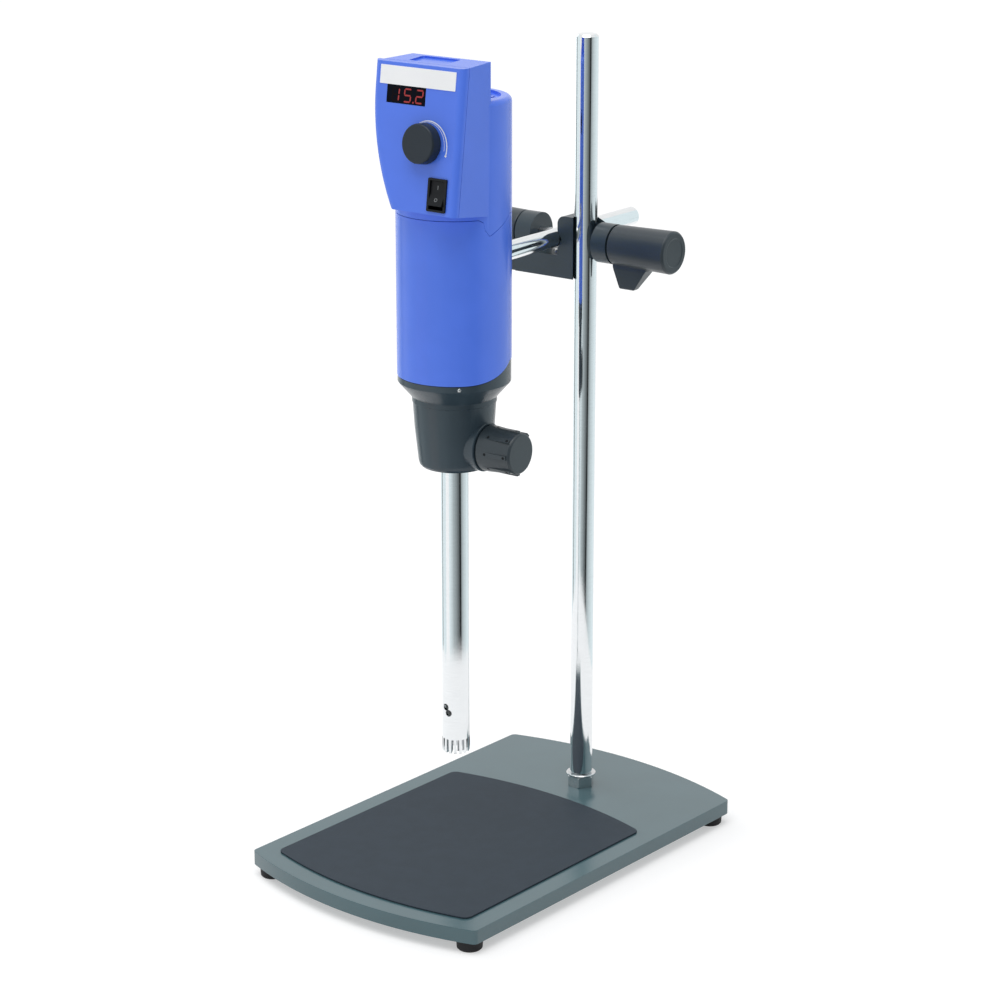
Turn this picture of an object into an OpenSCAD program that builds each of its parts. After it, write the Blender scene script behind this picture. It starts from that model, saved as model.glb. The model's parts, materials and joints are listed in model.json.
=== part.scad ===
// Rotor stator homogenizer on a plate stand.
// Millimetres. The origin is the middle of the footprint on the bench, and +Z is up.
// Heights named "above the plate" are measured from the top face of the stand plate.

/* [Stand plate] */

// Width of the stand plate, left to right
plate_w = 200; // [160:1:260]
// Length of the stand plate, front to back
plate_l = 315; // [260:1:400]
// Thickness of the stand plate
plate_t = 10; // [6:0.5:16]
// Radius of the gently bowed front and rear edges
end_r = 294.5; // [220:0.5:600]
// Rounding of the four plate corners
corner_r = 4; // [1:0.5:12]
// Distance of the rod behind the middle of the plate
rod_back = 95.9; // [60:0.1:130]
// Height of the rubber feet
foot_h = 7.8; // [4:0.1:15]
// Width of the work mat
mat_w = 170; // [120:1:190]
// Length of the work mat along its middle
mat_l = 209; // [140:1:230]
// Thickness of the work mat
mat_t = 1.2; // [0.6:0.1:3]
// Distance of the mat's middle in front of the plate's middle
mat_front = 38.5; // [0:0.5:60]

/* [Rod, arm and boss head] */

// Diameter of the upright rod
rod_d = 16; // [12:0.5:20]
// Height of the rod's top above the plate
rod_top = 541.5; // [400:0.5:700]
// Diameter of the extension arm
arm_d = 13; // [10:0.5:16]
// Height of the arm above the plate
arm_h = 401; // [300:0.5:480]
// Sideways distance from the rod to the arm
arm_side = 21.4; // [20:0.1:30]
// Distance of the motor axis in front of the rod
reach = 119.6; // [90:0.1:180]
// Length of arm that stands out behind the rod
arm_tail = 87.7; // [20:0.1:120]
// Angle by which the boss head is swung round the rod
swing = 3; // [0:0.5:3]
// Length of a clamp knob on the boss head
knob_l = 46.8; // [30:0.1:50]
// Radius of a clamp knob at its inner end
knob_r = 13.6; // [11:0.1:16]
// Radius of the clamp screws
screw_r = 3.95; // [3.95:0.05:4]

/* [Drive unit] */

// Radius of the motor shell
shell_r = 38.1; // [36:0.1:42]
// Wall thickness of the plastic housings
wall = 2.6; // [2:0.1:3.2]
// Half the width of the control head
head_hw = 36.5; // [34:0.1:37]
// Height of the control head's top above the plate, at its rear edge
head_top = 539.2; // [530:0.1:545]
// Angle by which the control head's top falls to the front
top_fall = 3.5; // [0:0.5:5]
// Amount by which the control head's left side draws in towards its rear edge
side_taper = 10; // [8:0.5:12]
// Height of the vented cap behind the control head
cap_top = 514; // [512:0.5:522]
// Angle by which the control panel leans back
lean = 7.4; // [0:0.1:12]
// Height of the seam between the control head and the motor shell
seam_h = 438.5; // [436:0.5:440]
// Radius of the curved left edge of the panel
panel_r = 163; // [140:1:200]
// Radius of the speed knob
dial_r = 13.25; // [10:0.05:15]
// Height of the speed knob over the panel
dial_h = 8; // [5:0.5:12]
// Height of the tool clamp screw above the plate
clamp_h = 282; // [280:0.5:284]

/* [Dispersing tool] */

// Radius of the stator tube
tube_r = 9.5; // [9.5:0.1:9.5]
// Bore radius of the stator tube
tube_bore = 7.5; // [7:0.1:8]
// Height of the tool's tip above the plate
tip_h = 60.7; // [40:0.1:100]
// Number of slots round the stator's end, an even number
stator_slots = 16; // [8:2:24]
// Width of each stator slot
slot_w = 1.9; // [1:0.1:2.2]
// Radius of the rotor, 0.4 mm less than the stator's bore
rotor_r = 6.35; // [5:0.05:6.5]

/* [Hidden] */

$fn = 96;
tail_y = rod_back + arm_tail * cos(swing) - arm_side * sin(swing) + (arm_d / 2 - 1) * sin(swing);
plate_y = -(tail_y - plate_l / 2) / 2;
rod_y = plate_y + rod_back;
top_z = foot_h + plate_t;
rod_r = rod_d / 2;
arm_r = arm_d / 2;
foot_x = 88.5;
foot_y = 132.5;
panel_b = -40;
panel_h = 500;
low_v = -55.6;
arc_v = 22.2;
arc_u = panel_r - head_hw;
dial_u = 9.5;
dial_v = -11.2;
rocker_u = 22.2;
rocker_v = -42.7;
rotor_core_r = 16;

// The sub-part to draw

// ---------- frames ----------

// Origin at the middle of the plate, height from the bench
module on_plate() {
  translate([0, plate_y, 0]) children();
}

// Origin on the rod's axis at the plate's top face, turned with the boss head
module at_rod() {
  translate([0, rod_y, top_z]) rotate([0, 0, swing]) children();
}

// The same, moved to the motor's axis
module at_drive() {
  at_rod() translate([-arm_side, -reach, 0]) children();
}

// Control panel: x across, y up the panel, z straight out of it
module at_panel() {
  translate([0, panel_b, panel_h]) rotate([90 - lean, 0, 0]) children();
}

// Local z runs along +X from the given point
module facing_x(a, b, h) {
  translate([a, b, h]) rotate([0, 90, 0]) children();
}

// A flat outline given in (Y, Z), drawn out along X from -w to w
module side_cut(w) {
  rotate([90, 0, 90]) translate([0, 0, -w]) linear_extrude(2 * w) children();
}

// A flat outline given in (X, Z), drawn out along Y from b0 to b1
module front_cut(b0, b1) {
  translate([0, b1, 0]) rotate([90, 0, 0]) linear_extrude(b1 - b0) children();
}

// ---------- outlines ----------

module rounded_box2d(w, h, r) {
  square([w - 2 * r, h], center = true);
  square([w, h - 2 * r], center = true);
  for (x = [-1, 1]) {
    for (y = [-1, 1]) {
      translate([x * (w / 2 - r), y * (h / 2 - r)]) circle(r);
    }
  }
}

// A rectangle with bowed ends and rounded corners, every arc tangent to the next
module bowed_plate2d(w, l, big, r) {
  cx = w / 2 - r;
  cy = l / 2 - big + sqrt((big - r) * (big - r) - cx * cx);
  strip = cx * big / (big - r);
  intersection() {
    square([2 * strip, 2 * l], center = true);
    translate([0, l / 2 - big]) circle(big, $fn = 720);
    translate([0, big - l / 2]) circle(big, $fn = 720);
  }
  square([w, 2 * cy], center = true);
  for (x = [-1, 1]) {
    for (y = [-1, 1]) {
      translate([x * cx, y * cy]) circle(r);
    }
  }
}

// Outline of the control panel, inset by k: straight right side, curved left side
// that sweeps in towards a small rounded corner at the bottom
module panel2d(k = 0) {
  r = panel_r - k;
  f = 6 - k;
  fv = low_v + k + f;
  drop = arc_v - fv;
  fu = arc_u - sqrt((r - f) * (r - f) - drop * drop);
  intersection() {
    translate([-head_hw + k, low_v + k]) square([2 * head_hw - 2 * k, 140]);
    union() {
      translate([-100, arc_v]) square([200, 100]);
      translate([fu, -100]) square([200, 200]);
      translate([fu, fv]) circle(f);
      polygon([[arc_u, arc_v], [arc_u - 1.5 * (arc_u - fu), arc_v - 1.5 * drop],
        [-200, arc_v - 1.5 * drop], [-200, arc_v], [-100, arc_v + 20], [arc_u, arc_v + 20]]);
    }
    union() {
      translate([-100, arc_v]) square([200, 100]);
      translate([arc_u, arc_v]) circle(r, $fn = 720);
    }
  }
}

// The same outline as short straight runs, at most 0.03 mm inside the curve
function panel_points(k, f = 6, n = 14) =
  let (r = panel_r - k, c = f - k, drop = arc_v - low_v - f,
    t = asin(drop / (r - c)), fu = arc_u - (r - c) * cos(t), fv = low_v + f)
  concat(
    [[head_hw - k, low_v + k], [head_hw - k, 80], [-head_hw + k, 80]],
    [for (i = [0 : n]) [arc_u - r * cos(t * i / n), arc_v - r * sin(t * i / n)]],
    [for (i = [1 : 6]) [fu - c * cos(t + (90 - t) * i / 6), fv - c * sin(t + (90 - t) * i / 6)]]);

// Region above the seam round the housing, with its pointed tongue on each side, in (Y, Z)
module above_seam2d() {
  polygon([[-60, seam_h], [-17.5, seam_h], [-14.2, seam_h - 2], [-13.2, seam_h - 7],
    [-9.6, seam_h - 11.3], [-4, seam_h - 8.7], [2.7, seam_h - 5.5], [9, seam_h - 2.1],
    [13.5, seam_h], [60, seam_h], [60, 600], [-60, 600]]);
}

// Region above the lower edge of the motor shell, which rises in an arc to the back
module above_skirt2d(gap = 0) {
  translate([-27, 409]) circle(80 + gap, $fn = 360);
  translate([-60, 329 - gap]) square([33, 300]);
  translate([-60, 340 - gap]) square([120, 300]);
}

// ---------- stand ----------

module base_plate() {
  color([0.52, 0.6, 0.62])
  on_plate() difference() {
    translate([0, 0, foot_h]) linear_extrude(plate_t) bowed_plate2d(plate_w, plate_l, end_r, corner_r);
    translate([0, rod_back, 0]) cylinder(r = 5.06, h = 40);
    for (x = [-1, 1]) {
      for (y = [-1, 1]) {
        translate([x * foot_x, y * foot_y, foot_h - 1]) cylinder(r = 2, h = 8);
      }
    }
  }
}

module work_mat() {
  color([0.28, 0.33, 0.37])
  on_plate() translate([0, -mat_front, top_z]) linear_extrude(mat_t)
    bowed_plate2d(mat_w, mat_l, end_r, 6);
}

module rubber_feet() {
  color([0.09, 0.09, 0.1])
  on_plate() for (x = [-1, 1]) {
    for (y = [-1, 1]) {
      translate([x * foot_x, y * foot_y, 0]) rotate_extrude()
        polygon([[5, 0], [7.6, 0], [8.5, 1], [9, foot_h], [2.1, foot_h], [2.1, 4.6], [5, 4.6]]);
    }
  }
}

module foot_screws() {
  color([0.7, 0.71, 0.72])
  on_plate() for (x = [-1, 1]) {
    for (y = [-1, 1]) {
      translate([x * foot_x, y * foot_y, 0]) difference() {
        union() {
          translate([0, 0, 2]) cylinder(r1 = 3, r2 = 3.6, h = 0.6);
          translate([0, 0, 2.6]) cylinder(r = 3.6, h = 2);
          translate([0, 0, 4.6]) cylinder(r = 1.95, h = 9);
        }
        translate([0, 0, 1]) cylinder(r = 1.5, h = 2.4, $fn = 6);
      }
    }
  }
}

module lock_nut() {
  color([0.72, 0.73, 0.74])
  translate([0, rod_y, top_z]) difference() {
    intersection() {
      cylinder(r = 17 / 2 / cos(30), h = 8, $fn = 6);
      union() {
        cylinder(r1 = 8.9, r2 = 10.1, h = 0.8);
        translate([0, 0, 0.8]) cylinder(r = 10.1, h = 6.4);
        translate([0, 0, 7.2]) cylinder(r1 = 10.1, r2 = 8.9, h = 0.8);
      }
    }
    translate([0, 0, -1]) cylinder(r = 5.06, h = 10);
  }
}

module rod_washer() {
  color([0.72, 0.73, 0.74])
  translate([0, rod_y, top_z]) rotate_extrude()
    polygon([[5.06, 8], [9.4, 8], [10.5, 9.1], [10.5, 9.6], [10.2, 9.9], [5.06, 9.9]]);
}

module stand_rod() {
  color([0.8, 0.81, 0.82])
  translate([0, rod_y, top_z]) rotate_extrude()
    polygon([[0, -9], [4.4, -9], [5, -8.4], [5, 10], [rod_r - 0.8, 10], [rod_r, 10.8],
      [rod_r, rod_top - 1.5], [rod_r - 1.5, rod_top], [0, rod_top]]);
}

// ---------- boss head ----------

// Two open jaws at right angles: the right one takes the upright rod, the left one the arm.
// Each has a 120 degree groove facing a clamp screw in a round boss.
module boss_head() {
  vr = (rod_r + 0.05) / cos(30);
  va = (arm_r + 0.05) / cos(30);
  color([0.36, 0.41, 0.43])
  at_rod() difference() {
    union() {
      front_cut(-9, 17.5) union() {
        translate([-17.3, 374.1]) square([12.9, 37.6]);
        translate([-11.8, 374.1]) square([7.4, 43.1]);
        translate([-11.8, 411.7]) circle(5.5);
      }
      translate([-53.2, -9, 374.1]) cube([36, 26.5, 15.4]);
      intersection() {
        facing_x(-53.2, 4, arm_h) cylinder(r = 17.5, h = 12.9);
        translate([-54, -9, 374.1]) cube([15, 26.5, 27]);
      }
      facing_x(-53.2, 4, arm_h) cylinder(r = 13.6, h = 12.9);
      intersection() {
        facing_x(-10, 0, arm_h) rotate_extrude()
          polygon([[0, 0], [17.3, 0], [17.3, 14], [13.7, 23.4], [13.7, 30], [0, 30]]);
        translate([-12, rod_r + 1.2, 370]) cube([34, 20, 60]);
      }
      facing_x(13.3, 0, arm_h) cylinder(r = 13.7, h = 12.1);
    }
    linear_extrude(900, center = true)
      polygon([[-vr, 0], [-vr + 9.2 / tan(60), 9.2], [13.3, 9.2], [13.3, -30],
        [-vr + 30 * cos(60), -30 * sin(60)]]);
    side_v(va);
    facing_x(0, 0, arm_h) cylinder(r = 4, h = 40);
    facing_x(-60, 4, arm_h) cylinder(r = 4, h = 30);
    translate([-24, 0, 379.5]) cylinder(r = 2.55, h = 20);
  }
}

// The arm's groove, open to the left
module side_v(va) {
  front_cut(-30, 30) polygon([[-arm_side + va, arm_h],
    [-arm_side + va - 12 * cos(60), arm_h + 12 * sin(60)],
    [-arm_side - 9, arm_h + 40], [-40.3, arm_h + 40], [-40.3, 389.5], [-arm_side, 389.5],
    [-arm_side + va - 12 * cos(60), arm_h - 11.5]]);
}

module rest_pin() {
  color([0.8, 0.8, 0.8])
  at_rod() translate([-24, 0, 379.6]) rotate_extrude()
    polygon([[0, 0], [2.5, 0], [2.5, 11.2], [1.8, 11.9], [0, 11.9]]);
}

// A tapered clamp knob with a thumb lug, its axis along +z, its inner face at z = 0
module boss_knob(l) {
  difference() {
    union() {
      rotate_extrude()
        polygon([[0, 0], [12.2, 0], [12.2, 0.5], [knob_r - 0.5, 0.5], [knob_r, 1],
          [knob_r + 1.05, l - 1.5], [knob_r, l - 0.2], [knob_r - 1.2, l], [10, l], [9.4, l - 0.5],
          [0, l - 0.5]]);
      intersection() {
        rotate([90, 0, 0]) linear_extrude(20, center = true)
          polygon([[0, 0.5], [14.4, 0.5], [29, 3.9], [29.7, 4.6], [29.7, 15.4], [29, 16.4],
            [14.4, 27.4], [0, 27.4]]);
        linear_extrude(60)
          polygon([[0, -6.4], [16, -5.4], [29, -2.6], [29.7, -2], [29.7, 2], [29, 2.6],
            [16, 5.4], [0, 6.4]]);
      }
    }
    translate([0, 0, -1]) cylinder(r = 4, h = l - 11);
  }
}

module rod_pressure_pad() {
  color([0.75, 0.76, 0.77])
  at_rod() facing_x(rod_r + 0.1, 0, arm_h) cylinder(r = 3.8, h = 4.4);
}

module rod_clamp_screw() {
  color([0.75, 0.76, 0.77])
  at_rod() facing_x(rod_r + 4.5, 0, arm_h) cylinder(r = screw_r, h = knob_l + 1.2);
}

module rod_clamp_knob() {
  color([0.2, 0.24, 0.28])
  at_rod() facing_x(25.9, 0, arm_h) boss_knob(knob_l);
}

module arm_pressure_pad() {
  color([0.75, 0.76, 0.77])
  at_rod() mirror([1, 0, 0]) facing_x(arm_side + arm_r + 0.1, 4, arm_h) cylinder(r = 3.8, h = 4.6);
}

module arm_clamp_screw() {
  color([0.75, 0.76, 0.77])
  at_rod() mirror([1, 0, 0]) facing_x(arm_side + arm_r + 4.7, 4, arm_h)
    cylinder(r = screw_r, h = 53);
}

module arm_clamp_knob() {
  color([0.2, 0.24, 0.28])
  at_rod() mirror([1, 0, 0]) facing_x(53.7, 4, arm_h) boss_knob(44.7);
}

module extension_arm() {
  color([0.8, 0.81, 0.82])
  at_rod() translate([-arm_side, 24 - reach, arm_h]) rotate([-90, 0, 0]) rotate_extrude()
    polygon([[0, 0], [arm_r - 1, 0], [arm_r, 1], [arm_r, reach + arm_tail - 25],
      [arm_r - 1, reach + arm_tail - 24], [0, reach + arm_tail - 24]]);
}

// ---------- control head ----------

// Origin on the head's top face at its rear edge, y along the falling top
module at_top() {
  translate([0, -8, head_top]) rotate([top_fall, 0, 0]) children();
}

// Everything below the head's top face, less k
module under_top(k = 0) {
  at_top() translate([-60, -100, -150 - k]) cube([120, 130, 150]);
}

// Everything below the head's top face, in front of its rear face and inside its sides
module head_limits(k = 0) {
  intersection() {
    under_top(k);
    translate([0, 0, 400]) linear_extrude(200)
      polygon([[-head_hw - 20, -100], [60, -100], [60, -8 - k], [-head_hw + side_taper + 1.04 * k, -8 - k],
        [-head_hw + 1.04 * k, -44], [-head_hw - 20, -44]]);
  }
}

// Panel and its 5 mm rim; the folds beside the panel and along the curved edge have a 5 mm radius
module front_cover() {
  color([0.35, 0.47, 0.84])
  at_drive() difference() {
    intersection() {
      under_top();
      at_panel() intersection() {
        translate([0, 0, -5]) linear_extrude(5) panel2d();
        rotate([-90, 0, 0]) mirror([0, 1, 0]) linear_extrude(400, center = true) union() {
          translate([-head_hw, -60]) square([2 * head_hw, 55]);
          translate([-head_hw + 5, -60]) square([2 * head_hw - 10, 60]);
          translate([-head_hw + 5, -5]) circle(5);
          translate([head_hw - 5, -5]) circle(5);
        }
        union() {
          translate([-60, arc_v, -20]) cube([120, 60, 30]);
          translate([arc_u, arc_v, 0]) rotate_extrude($fn = 720) union() {
            translate([0, -20]) square([panel_r - 5, 20]);
            translate([0, -20]) square([panel_r, 15]);
            translate([panel_r - 5, -5]) circle(5, $fn = 96);
          }
        }
      }
    }
    intersection() {
      under_top(wall);
      at_panel() translate([0, 0, -8]) linear_extrude(8 - wall) panel2d(wall);
    }
    at_panel() {
      translate([-24.3, 11.95, -10]) cube([31.4, 11.65, 20]);
      translate([dial_u, dial_v, -10]) cylinder(r = 4.5, h = 20);
      translate([rocker_u - 7, rocker_v - 10.3, -10]) cube([14, 20.6, 20]);
    }
  }
}

// Box behind the panel, the vented cap and the neck that meets the motor shell
module rear_housing() {
  color([0.35, 0.47, 0.84])
  at_drive() difference() {
    union() {
      intersection() {
        head_limits();
        at_panel() translate([0, 0, -60]) linear_extrude(54.65) polygon(panel_points(0));
      }
      intersection() {
        rotate_extrude() union() {
          square([shell_r - 3.8, cap_top]);
          square([shell_r, cap_top - 3.8]);
          translate([shell_r - 3.8, cap_top - 3.8]) circle(3.8);
        }
        side_cut(60) above_seam2d();
        at_panel() translate([-100, -150, -205.35]) cube([200, 300, 200]);
      }
      translate([0, 0, seam_h - 18.5]) cylinder(r = shell_r - wall - 0.1, h = 26);
    }
    difference() {
      intersection() {
        head_limits(wall);
        at_panel() translate([0, 0, -60]) linear_extrude(60) polygon(panel_points(wall));
      }
      board_ribs();
    }
    translate([0, 0, 400]) cylinder(r = shell_r - 2 * wall, h = seam_h - 400 + 4);
    translate([0, 0, seam_h + 3.9]) cylinder(r = shell_r - wall, h = cap_top - seam_h - 8.3);
    difference() {
      translate([0, 0, cap_top - 1.9]) cylinder(r = 31, h = 5);
      translate([-50, -56, 400]) cube([100, 50, 200]);
    }
    for (x = [-20, -13.3, -6.7, 0, 6.7, 13.3, 20]) {
      intersection() {
        translate([x - 1.3, 0, cap_top - 9]) cube([2.6, 40, 20]);
        cylinder(r = 27, h = 600);
      }
    }
    at_top() translate([0, -10.9, -1.2]) linear_extrude(5) rounded_box2d(30.6, 15.4, 1.5);
    translate([0, 30, 470]) rotate([-90, 0, 0]) cylinder(r = 6.05, h = 20);
    for (x = [-20, 24]) {
      translate([x, -12, head_top - 18]) rotate([-90, 0, 0]) cylinder(r = 1.65, h = 20);
    }
  }
}

// Grooved ribs that carry the control board by its edges
module board_ribs() {
  for (x = [-34, 30]) {
    difference() {
      translate([x, -23.6, 506]) cube([10, 7.2, 22]);
      translate([-26.4, -20.9, 500]) cube([60.1, 1.8, 40]);
    }
  }
}

module label_plate() {
  color([0.93, 0.94, 0.95])
  at_drive() at_panel() translate([0.1, 29.6, 0]) linear_extrude(0.4) rounded_box2d(60.8, 12, 0.4);
}

module display_window() {
  color([0.03, 0.02, 0.02])
  at_drive() at_panel() translate([-8.6, 17.75, -1.5]) linear_extrude(1.7) rounded_box2d(31.2, 11.45, 0.3);
}

module display_module() {
  color([0.1, 0.1, 0.1])
  at_drive() at_panel() translate([-23.6, 12.4, -8]) cube([30, 10.6, 6]);
}

module display_board() {
  color([0.1, 0.35, 0.2])
  at_drive() at_panel() translate([-27, 8, -9.7]) cube([54, 22, 1.6]);
}

module control_board() {
  color([0.1, 0.35, 0.2])
  at_drive() union() {
    translate([-26.2, -20.8, 507]) cube([59.7, 1.6, 22]);
    translate([-24, -20.8, 470]) cube([54, 1.6, 40]);
  }
}

module board_parts() {
  color([0.15, 0.2, 0.5])
  at_drive() {
    translate([-20, -19.1, 475]) cube([22, 12, 18]);
    translate([16, -19.1, 482]) rotate([-90, 0, 0]) cylinder(r = 6, h = 12);
    translate([16, -19.1, 497]) rotate([-90, 0, 0]) cylinder(r = 6, h = 12);
    translate([-22, -19.1, 498]) cube([18, 6, 3]);
    translate([-22, -19.1, 503]) cube([18, 6, 3]);
  }
}

module potentiometer() {
  color([0.5, 0.5, 0.52])
  at_drive() at_panel() translate([dial_u, dial_v, 0]) difference() {
    union() {
      translate([0, 0, -13]) cylinder(r = 8, h = 10.3);
      translate([0, 0, -3]) cylinder(r = 4.4, h = 3.2);
      translate([-5, -15, -12]) cube([10, 10, 3]);
    }
    translate([0, 0, -11.6]) cylinder(r = 3.06, h = 20);
  }
}

module speed_knob() {
  color([0.16, 0.19, 0.22])
  at_drive() at_panel() translate([dial_u, dial_v, 0.6]) difference() {
    rotate_extrude()
      polygon([[0, 0], [dial_r - 0.4, 0], [dial_r, 0.4], [dial_r - 0.45, dial_h - 1.2],
        [dial_r - 0.9, dial_h - 0.4], [dial_r - 1.7, dial_h], [0, dial_h]]);
    translate([0, 0, -1]) cylinder(r = 3, h = dial_h - 1);
  }
}

module knob_spindle() {
  color([0.75, 0.76, 0.77])
  at_drive() at_panel() translate([dial_u, dial_v, -11]) cylinder(r = 3, h = dial_h + 9);
}

module switch_frame() {
  color([0.05, 0.05, 0.05])
  at_drive() at_panel() translate([rocker_u, rocker_v, 0]) difference() {
    union() {
      linear_extrude(1.2) rounded_box2d(14.9, 21.4, 0.8);
      translate([-6.9, -10.2, -2.8]) cube([13.8, 20.4, 3]);
    }
    translate([-5.8, -9.2, -5]) cube([11.6, 18.4, 10]);
  }
}

module switch_body() {
  color([0.07, 0.07, 0.07])
  at_drive() at_panel() translate([rocker_u, rocker_v, 0]) difference() {
    translate([-6.9, -10.2, -17]) cube([13.8, 20.4, 14.1]);
    translate([-5.8, -9.2, -9]) cube([11.6, 18.4, 10]);
    translate([-10, 0, -4.5]) rotate([0, 90, 0]) cylinder(r = 1.26, h = 20);
  }
}

// Rocker at rest with its upper end pressed in
module switch_rocker() {
  color([0.09, 0.09, 0.09])
  at_drive() at_panel() translate([rocker_u, rocker_v, -4.5]) rotate([-11, 0, 0]) union() {
    side_cut(5.55) polygon([[-7.9, -0.5], [-7.9, 5.9], [0, 4.6], [7.9, 5.9], [7.9, -0.5], [2, -2], [-2, -2]]);
    translate([-6.7, 0, 0]) rotate([0, 90, 0]) cylinder(r = 1.2, h = 13.4);
  }
}

module cable_gland() {
  color([0.1, 0.1, 0.11])
  at_drive() translate([0, 0, 470]) rotate([-90, 0, 0]) difference() {
    union() {
      translate([0, 0, 32]) cylinder(r = 6, h = 11);
      translate([0, 0, 32]) cylinder(r = 8.5, h = 2.3, $fn = 6);
      translate([0, 0, 38.5]) cylinder(r = 8.5, h = 6, $fn = 6);
      translate([0, 0, 44.5]) cylinder(r1 = 7, r2 = 5.8, h = 5);
    }
    translate([0, 0, 20]) cylinder(r = 4, h = 50);
  }
}

module gland_sleeve() {
  color([0.08, 0.08, 0.08])
  at_drive() translate([0, 0, 470]) rotate([-90, 0, 0]) difference() {
    translate([0, 0, 34]) cylinder(r = 3.95, h = 17);
    translate([0, 0, 20]) cylinder(r = 3, h = 50);
  }
}

// ---------- motor ----------

module motor_shell() {
  color([0.35, 0.47, 0.84])
  at_drive() difference() {
    union() {
      intersection() {
        translate([0, 0, 320]) difference() {
          cylinder(r = shell_r, h = 140);
          cylinder(r = shell_r - wall, h = 300, center = true);
        }
        side_cut(60) above_skirt2d();
      }
      for (t = [45 : 90 : 315]) {
        rotate([0, 0, t]) translate([27.1, -3, 351]) cube([shell_r - wall - 27, 6, 32]);
      }
    }
    translate([0, 0, -0.4]) side_cut(60) above_seam2d();
    translate([0, 20, arm_h]) rotate([-90, 0, 0]) cylinder(r = 10.05, h = 40);
  }
}

// Lower end cap with the tool's socket, the bearing seat and the clamp boss
module shaft_flange() {
  color([0.2, 0.24, 0.28])
  at_drive() difference() {
    union() {
      difference() {
        rotate_extrude()
          polygon([[0, 265], [20, 265], [22.2, 265.7], [23.7, 267.4], [24.3, 270], [26.7, 292],
            [27.9, 310.2], [28.4, 310.6], [28.4, 313.8], [37, 323.5], [37.8, 324.6], [37.8, 346],
            [0, 346]]);
        side_cut(60) above_skirt2d(0.35);
      }
      translate([0, 0, 322]) cylinder(r = shell_r - wall - 0.1, h = 26);
      facing_x(10, 0, clamp_h) rotate_extrude()
        polygon([[0, 0], [15.6, 0], [16.2, 9], [16.4, 17], [15.9, 17.5], [0, 17.5]]);
    }
    rotate_extrude()
      polygon([[0, 200], [tube_r + 0.06, 200], [tube_r + 0.06, 298.3], [7.2, 298.3], [7.2, 301.5],
        [5.5, 301.5], [5.5, 303], [11.02, 303], [11.02, 312], [24, 314], [32.6, 323.5],
        [32.6, 360], [0, 360]]);
    facing_x(0, 0, clamp_h) cylinder(r = 4, h = 60);
  }
}

module housing_screws() {
  color([0.7, 0.71, 0.72])
  at_drive() for (x = [-20, 24]) {
    translate([x, -5.2, head_top - 18]) rotate([90, 0, 0]) difference() {
      union() {
        cylinder(r = 3, h = 2.6);
        cylinder(r = 1.6, h = 14);
      }
      translate([0, 0, -1]) cylinder(r = 1.2, h = 2.4, $fn = 6);
    }
  }
}

module arm_socket() {
  color([0.7, 0.71, 0.72])
  at_drive() translate([0, 0, arm_h]) rotate([-90, 0, 0]) rotate_extrude()
    polygon([[arm_r + 0.06, 24.8], [11.5, 24.8], [11.5, 28], [10, 28], [10, 38.6], [12, 38.6], [12, 41],
      [11.4, 41.6], [arm_r + 0.06, 41.6]]);
}

module field_core() {
  color([0.45, 0.46, 0.48])
  at_drive() translate([0, 0, 350]) linear_extrude(34) difference() {
    intersection() {
      circle(27);
      square(50, center = true);
    }
    circle(rotor_core_r + 0.4);
    for (x = [-13.5, 13.5]) {
      for (y = [-16, 16]) {
        translate([x, y]) circle(2.9);
      }
    }
  }
}

module field_coils() {
  color([0.72, 0.4, 0.2])
  at_drive() {
    for (h = [342.5, 384.1]) {
      translate([0, 0, h]) rotate_extrude() translate([20.9, 3.7]) rounded_box2d(6.6, 7.4, 2);
    }
    for (x = [-13.5, 13.5]) {
      for (y = [-16, 16]) {
        translate([x, y, 346]) cylinder(r = 2.8, h = 42);
      }
    }
  }
}

module motor_shaft() {
  color([0.75, 0.76, 0.77])
  at_drive() rotate_extrude()
    polygon([[0, 296.3], [4, 296.3], [4, 419], [3.4, 420], [0, 420]]);
}

module armature_core() {
  color([0.5, 0.51, 0.53])
  at_drive() translate([0, 0, 351]) linear_extrude(32) difference() {
    circle(rotor_core_r);
    circle(4);
    for (t = [0 : 30 : 330]) {
      rotate(t) translate([12, 0]) circle(2.1);
      rotate(t) translate([12, -0.7]) square([6, 1.4]);
    }
  }
}

module armature_windings() {
  color([0.7, 0.36, 0.16])
  at_drive() {
    for (h = [344, 383.1]) {
      translate([0, 0, h]) rotate_extrude() translate([10.3, 3.45]) rounded_box2d(8, 6.9, 2.2);
    }
    for (t = [0 : 30 : 330]) {
      rotate([0, 0, t]) translate([12, 0, 346]) cylinder(r = 2, h = 40);
    }
  }
}

module commutator() {
  color([0.75, 0.45, 0.25])
  at_drive() translate([0, 0, 391]) difference() {
    cylinder(r = 9, h = 13);
    translate([0, 0, -1]) cylinder(r = 4, h = 20);
    for (t = [0 : 15 : 345]) {
      rotate([0, 0, t]) translate([8.2, -0.2, 1.5]) cube([2, 0.4, 12]);
    }
  }
}

module cooling_fan() {
  color([0.12, 0.12, 0.13])
  at_drive() difference() {
    union() {
      translate([0, 0, 325.5]) cylinder(r = 7, h = 13.5);
      translate([0, 0, 337.5]) cylinder(r = 30, h = 1.5);
      for (t = [0 : 40 : 320]) {
        rotate([0, 0, t]) translate([6.5, -0.75, 328]) cube([22.5, 1.5, 9.6]);
      }
    }
    translate([0, 0, 300]) cylinder(r = 4, h = 60);
  }
}

module bearing_inner_rings() {
  color([0.8, 0.8, 0.82])
  at_drive() for (h = [303.2, 411.2]) {
    translate([0, 0, h]) difference() {
      cylinder(r = 6, h = 6.6);
      translate([0, 0, -1]) cylinder(r = 4, h = 10);
    }
  }
}

module bearing_outer_rings() {
  color([0.8, 0.8, 0.82])
  at_drive() for (h = [303, 411]) {
    translate([0, 0, h]) difference() {
      cylinder(r = 11, h = 7);
      translate([0, 0, -1]) cylinder(r = 9.2, h = 10);
    }
  }
}

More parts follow.
